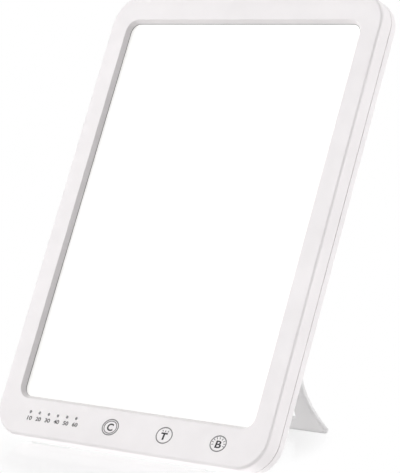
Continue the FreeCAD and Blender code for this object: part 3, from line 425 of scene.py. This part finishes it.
def print_keys(line_ink, letter_ink):
    """The three touch keys: a C in a double ring, a T under three rays, and a B among the rays of a sun."""
    rings = [ring("colour", RING_LINE), ring("colour", INNER_RING_LINE, INNER_RING_SHARE)]
    settle(join(rings), "key_colour_rings", line_ink)
    print_letter("colour", letter_ink)

    x = KEY_PLACES["timer"]
    rays = []
    for right, up, turn in TIMER_RAYS:
        rays.append(stroke(x + right * MM, KEY_ROW + up * MM, TIMER_RAY_LENGTH, TIMER_RAY_WIDTH,
                           math.radians(turn)))
    settle(join([ring("timer", RING_LINE)] + rays), "key_timer_ring", line_ink)
    print_letter("timer", letter_ink)

    x = KEY_PLACES["brightness"]
    rays = []
    for n in range(SUN_RAYS):
        turn = math.radians(SUN_FIRST + SUN_STEP * n)
        rays.append(stroke(x + SUN_HALF_WIDTH * math.cos(turn) + SUN_SHIFT,
                           KEY_ROW + SUN_HALF_HEIGHT * math.sin(turn), SUN_RAY_LENGTH, SUN_RAY_WIDTH, turn))
    settle(join([ring("brightness", RING_LINE)] + rays), "key_brightness_ring", line_ink)
    print_letter("brightness", letter_ink)


def print_numbers(ink):
    """Minutes under the timer marks."""
    numbers = []
    for n in range(MARK_COUNT):
        narrower = FIRST_NARROWER if n == 0 else 0
        x = MARK_FIRST + n * MARK_PITCH + NUMBER_SHIFT + narrower / 2
        numbers.append(letter(str(MARK_MINUTES * (n + 1)), x, NUMBER_ROW, NUMBER_WIDTH - narrower,
                              NUMBER_HEIGHT, NUMBER_WEIGHT))
    settle(join(numbers), "timer_numbers", ink)


# seal round the lit window, its grey painted shade in the gap

def window_outline():
    """The window's four rounded corners, from the upper right one leftwards round, as one loop of points."""
    right = WINDOW_HALF - WINDOW_CORNER
    top = WINDOW_TOP - WINDOW_CORNER
    low = WINDOW_LOW + WINDOW_CORNER
    points = []
    for x, y, start in ((right, top, 0), (-right, top, 90), (-right, low, 180), (right, low, 270)):
        for n in range(CORNER_STEPS + 1):
            turn = math.radians(start + 90 * n / CORNER_STEPS)
            points.append((x + WINDOW_CORNER * math.cos(turn), y + WINDOW_CORNER * math.sin(turn)))
    return points


def add_seal_and_gap_shade(material):
    """Thin soft seal in the corner between the bevel and the lit panel, which draws a fine grey line: painted
    shade for the gap there.
    """
    outline = window_outline()
    deselect()
    bpy.ops.mesh.primitive_circle_add(vertices=len(outline), radius=1, fill_type="NGON", location=(0, 0, 0))
    piece = bpy.context.object
    shape = bmesh.new()
    shape.from_mesh(piece.data)
    shape.faces.ensure_lookup_table()
    for vertex, (x, y) in zip(shape.faces[0].verts, outline):
        vertex.co = (x, y, -SEAL_DEPTH)
    shape.to_mesh(piece.data)
    shape.free()

    bpy.ops.object.mode_set(mode="EDIT")
    bpy.ops.mesh.select_all(action="SELECT")
    bpy.ops.mesh.inset(thickness=SEAL_WIDTH)
    shape = bmesh.from_edit_mesh(piece.data)
    for vertex in shape.verts:
        vertex.select_set(vertex.select and vertex.co.y < LOWER_SIDE)
    shape.select_flush_mode()
    bpy.ops.transform.translate(value=(0, -SEAL_NARROWER_BELOW, 0))

    bpy.ops.mesh.select_all(action="DESELECT")
    shape = bmesh.from_edit_mesh(piece.data)
    for face in shape.faces:
        face.select_set(len(face.verts) > 4)
    bpy.ops.mesh.delete(type="FACE")
    thicken(SEAL_THICKNESS)
    settle(piece, "window_seal_painted_shade", material)


# studio

def add_lamp(name, turn, height, power):
    """Large soft lamp, turned from straight in front of the object and raised by these degrees."""
    turn, height = math.radians(turn), math.radians(height)
    way = Vector((math.sin(turn) * math.cos(height), -math.cos(turn) * math.cos(height), math.sin(height)))
    bpy.ops.object.light_add(type="AREA", location=LAMP_AIM + LAMP_DISTANCE * way,
                             rotation=way.to_track_quat("Z", "Y").to_euler())
    lamp = bpy.context.object
    lamp.name = name
    lamp.data.shape = "SQUARE"
    lamp.data.size = LAMP_SIZE
    lamp.data.energy = power


def add_floor_glow(name, y, wide, deep, power):
    """Part of the floor that shines up, like a light table; y, width and depth in millimetres."""
    bpy.ops.object.light_add(type="AREA", location=(0, y * MM, GLOW_HEIGHT), rotation=(math.pi, 0, 0))
    lamp = bpy.context.object
    lamp.name = name
    lamp.data.shape = "RECTANGLE"
    lamp.data.size = wide * MM
    lamp.data.size_y = deep * MM
    lamp.data.energy = power
    lamp.visible_camera = False


def seen(owner):
    """1 for rays from the camera, a mirror or glass, 0 for light that falls on the object."""
    path = add(owner, "ShaderNodeLightPath")
    both = add(owner, "ShaderNodeMath", {"operation": "MAXIMUM"},
               {0: (path, "Is Camera Ray"), 1: (path, "Is Glossy Ray")})
    return add(owner, "ShaderNodeMath", {"operation": "MAXIMUM"},
               {0: (both, "Value"), 1: (path, "Is Transmission Ray")})


def add_sky():
    """Backdrop that is white to the eye and lights the object with only a part of that."""
    world = bpy.data.worlds.new("studio")
    bpy.context.scene.world = world
    world.use_nodes = True
    world.node_tree.nodes.clear()
    level = add(world, "ShaderNodeMapRange", {"To Min": SKY_LIGHT, "To Max": 1.0},
                {"Value": (seen(world), "Value")})
    sky = add(world, "ShaderNodeBackground", {"Color": colour("FFFFFF")}, {"Strength": (level, "Result")})
    add(world, "ShaderNodeOutputWorld", {}, {"Surface": (sky, "Background")})


def gloss_board():
    """White gloss board: matt white under a soft mirror near the lamp, and plain white further off."""
    material = new_material("white_gloss_board")
    matt = add(material, "ShaderNodeBsdfDiffuse", {"Color": colour("D8D8D8")})
    mirror = add(material, "ShaderNodeBsdfGlossy", {"Color": colour("FFFFFF"), "Roughness": 0.2})
    gloss = add(material, "ShaderNodeMapRange", {"To Min": MIRROR_LIGHT, "To Max": MIRROR_SEEN},
                {"Value": (seen(material), "Value")})
    surface = add(material, "ShaderNodeMixShader", {},
                  {"Fac": (gloss, "Result"), 1: (matt, "BSDF"), 2: (mirror, "BSDF")})

    place = add(material, "ShaderNodeTexCoord")
    oval = add(material, "ShaderNodeMapping",
               {"Location": (-OVAL_X * OVAL_STRETCH, -OVAL_Y, 0), "Scale": (OVAL_STRETCH, 1, 1)},
               {"Vector": (place, "Object")})
    reach = add(material, "ShaderNodeVectorMath", {"operation": "LENGTH"}, {"Vector": (oval, "Vector")})
    lift = add(material, "ShaderNodeMapRange",
               {"interpolation_type": "SMOOTHSTEP", "From Min": OVAL_INNER, "From Max": OVAL_OUTER,
                "To Min": OVAL_WHITE, "To Max": 1.0}, {"Value": (reach, "Value")})
    share = add(material, "ShaderNodeMath", {"operation": "MULTIPLY"},
                {0: (seen(material), "Value"), 1: (lift, "Result")})
    white = add(material, "ShaderNodeEmission", {"Color": colour("FFFFFF"), "Strength": 1.0})
    both = add(material, "ShaderNodeMixShader", {},
               {"Fac": (share, "Value"), 1: (surface, "Shader"), 2: (white, "Emission")})
    add(material, "ShaderNodeOutputMaterial", {}, {"Surface": (both, "Shader")})
    return material


def add_floor():
    """Board that the lamp stands on."""
    deselect()
    bpy.ops.mesh.primitive_plane_add(size=FLOOR_SIZE, location=(0, 0, -FLOOR_GAP))
    floor = bpy.context.object
    floor.name = "floor"
    floor.data.materials.append(gloss_board())


def add_studio():
    """White floor and backdrop, soft lamps at the left, the right and high at the back, two floor glows."""
    add_sky()
    add_lamp("front_left_lamp", turn=-32, height=37, power=236)
    add_lamp("left_lamp", turn=-60, height=25, power=232)
    add_lamp("right_lamp", turn=107, height=6, power=460)
    add_lamp("high_back_lamp", turn=162, height=51, power=160)
    add_floor_glow("glow_under_edge", y=-61, wide=180, deep=22, power=0.006)
    add_floor_glow("glow_under_kickstand", y=36, wide=120, deep=58, power=0.0078)
    add_floor()
    bpy.context.scene.view_settings.view_transform = "Standard"


def dress(names, material):
    """Gives CAD parts their finish."""
    for name in names:
        part = nodes[name]
        part.data.materials.clear()
        part.data.materials.append(material)


add_camera()
add_studio()

# Shells from a spark-eroded tool: satin white, with broad soft highlights and no mirror.
dress(["front_bezel", "rear_cover"], moulded("abs_white_eroded", "F3EFF0", "F8F4F5"))
# The same texture in a light grey, a little duller.
dress(["kickstand"], moulded("abs_light_grey_eroded", "E2E2E2", "E6E5E5", gloss=0.46))
dress(["diffuser_panel"], opal_acrylic())
# Smoked plastic from a smooth tool: near black and glossy with its light off.
dress(["timer_light_pipe"], moulded("polycarbonate_smoked", "1E1E22", "2A2A2F", gloss=0.2, ior=1.58))
# Unfilled silicone lets light in and scatters it, so a foot is pale even in its own shadow.
dress(["case_feet"], clear_plastic("silicone_rubber_milky", "F6F6F4", gloss=0.4, opacity=0.3, ior=1.41))
# Polished sheet: clear as glass, with a faint green-blue tint.
dress(["light_guide_plate"],
      clear_plastic("acrylic_clear_polished", "EAF4F2", gloss=0.04, opacity=0.15, ior=1.49))
# Stretched film full of tiny voids: chalk white, under a silky skin.
dress(["reflector_sheet"],
      moulded("polyester_film_white", "F2F2F2", "FAFAFA", gloss=0.3, texture=1.0, ior=1.6))
# Rolled sheet: fine lines from front to back, which show on its flanges, and a grain on its broad face.
dress(["heat_spreader"], brushed("aluminium_rolled", "B9BCC0", "D2D4D6", along=(1, 0.03, 1), gloss=0.35))
dress(["led_strip_left", "led_strip_right"], solder_mask("solder_mask_white", "E4E4E0", "EFEFEB"))
dress(["led_chips_left", "led_chips_right", "timer_leds"], led_package())
# Cast film over copper: amber and glossy.
dress(["strip_lead_left", "strip_lead_right"],
      moulded("polyimide_film_amber", "9A5A14", "B06A1C", gloss=0.25, texture=1.0))
# Undyed nylon: cream, with a dull skin.
dress(["lead_sockets"], moulded("nylon_natural", "DDD8C4", "E8E4D4", gloss=0.45))
dress(["control_board"], solder_mask("solder_mask_green", "0F4A2A", "165A35"))
# Open foam full of carbon: dark grey, coarse and without gloss.
dress(["touch_pads"],
      moulded("foam_conductive_grey", "3A3A3C", "4C4C4E", gloss=0.9, texture=0.8, depth=0.05))
# Transfer-moulded epoxy: near black and dull.
dress(["controller_chip"], moulded("epoxy_black_moulded", "131314", "1D1D1F", gloss=0.5))
# Pressed and fired powder: dark grey and dull.
dress(["driver_inductor"], moulded("ferrite_grey", "2C2C2E", "3A3A3D", gloss=0.6, texture=0.5))
# Drawn cans: bright, with fine upright lines.
dress(["driver_capacitors"],
      brushed("aluminium_can_drawn", "B4B6B8", "CDCFD0", along=(1, 1, 0.05), gloss=0.28))
# Glass fibre at the surface dulls the black.
dress(["dc_jack"], moulded("nylon_black_glass_filled", "18181A", "232325", gloss=0.48))
# Nickel over brass: warm silver, with fine lines near enough along the pin.
dress(["dc_jack_pin"], brushed("brass_nickel_plated", "C9C4B6", "DEDACD", along=(1, 0.1, 1), gloss=0.2))
# Barrel-plated zinc: bluish grey and slightly uneven, with no lines.
dress(["board_screws", "case_screws"],
      brushed("steel_zinc_plated", "A9ACB0", "C6C9CC", along=(1, 1, 1), gloss=0.32))
# Ground pins: fine lines along their length.
dress(["hinge_pins"], brushed("steel_stainless_ground", "A6A8AA", "BFC1C3", along=(0.05, 1, 1), gloss=0.25))
# Acetal: dense white with a waxy gleam.
dress(["hinge_washers"], moulded("acetal_white", "E4E4E2", "ECECEA", gloss=0.35))

line_ink = printing_ink("ink_grey", "757374", "7F7D7E")
letter_ink = printing_ink("ink_charcoal", "121113", "1A191B")
print_keys(line_ink, letter_ink)
print_numbers(printing_ink("ink_mid_grey", "363436", "403E40"))
# Filled silicone: soft grey and matt, a grey that also paints the shade in the gap round the lit window.
add_seal_and_gap_shade(
    moulded("silicone_seal_grey_painted_shade", "B2B2B2", "BABABA", gloss=0.6, texture=0.4, depth=0.003, ior=1.41))
